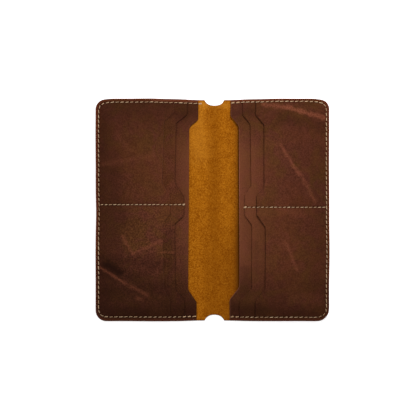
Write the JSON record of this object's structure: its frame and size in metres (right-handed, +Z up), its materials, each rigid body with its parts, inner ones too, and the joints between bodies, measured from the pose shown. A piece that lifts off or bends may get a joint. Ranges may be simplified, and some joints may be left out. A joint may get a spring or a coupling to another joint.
{
  "type": "phone wallet case",
  "caption": "Long leather bifold phone wallet, open flat, with a full-height phone pocket and stepped card slots on each half, sewn round the edges.",
  "frame": {"origin": "middle of the open wallet's outline on the outside face, so that it rests on z = 0; the fold is at x = 1.7 mm", "axes": "+X across the open wallet to the back half, +Y along the fold, +Z up out of the pockets"},
  "size_m": [0.205, 0.195, 0.0072],
  "materials": {
    "cover_leather": "waxed",
    "pocket_leather": "waxed",
    "thread": "waxed"
  },
  "bodies": {
    "back_half": {"back_cover": "cover_leather", "back_long_pocket": "pocket_leather", "back_inner_card_panel": "pocket_leather", "back_outer_card_panel": "pocket_leather", "back_edge_stitching": "thread", "back_divider_stitching": "thread", "back_card_stop_stitching": "thread"},
    "spine": {"spine": "cover_leather"},
    "front_half": {"front_cover": "cover_leather", "front_long_pocket": "pocket_leather", "front_inner_card_panel": "pocket_leather", "front_outer_card_panel": "pocket_leather", "front_edge_stitching": "thread", "front_divider_stitching": "thread", "front_card_stop_stitching": "thread"}
  },
  "joints": [
    {"name": "fold", "type": "hinge", "parent": "back_half", "child": "spine", "pos_m": [0.0086, 0, 0.0008], "axis": [0, 1, 0], "range_deg": [0, 90]},
    {"name": "front_fold", "type": "hinge", "parent": "spine", "child": "front_half", "pos_m": [-0.0052, 0, 0.0008], "axis": [0, 1, 0], "range_deg": [0, 90]}
  ],
  "couplings": [
    {"joint": "front_fold", "follows": "fold", "ratio": 1}
  ]
}
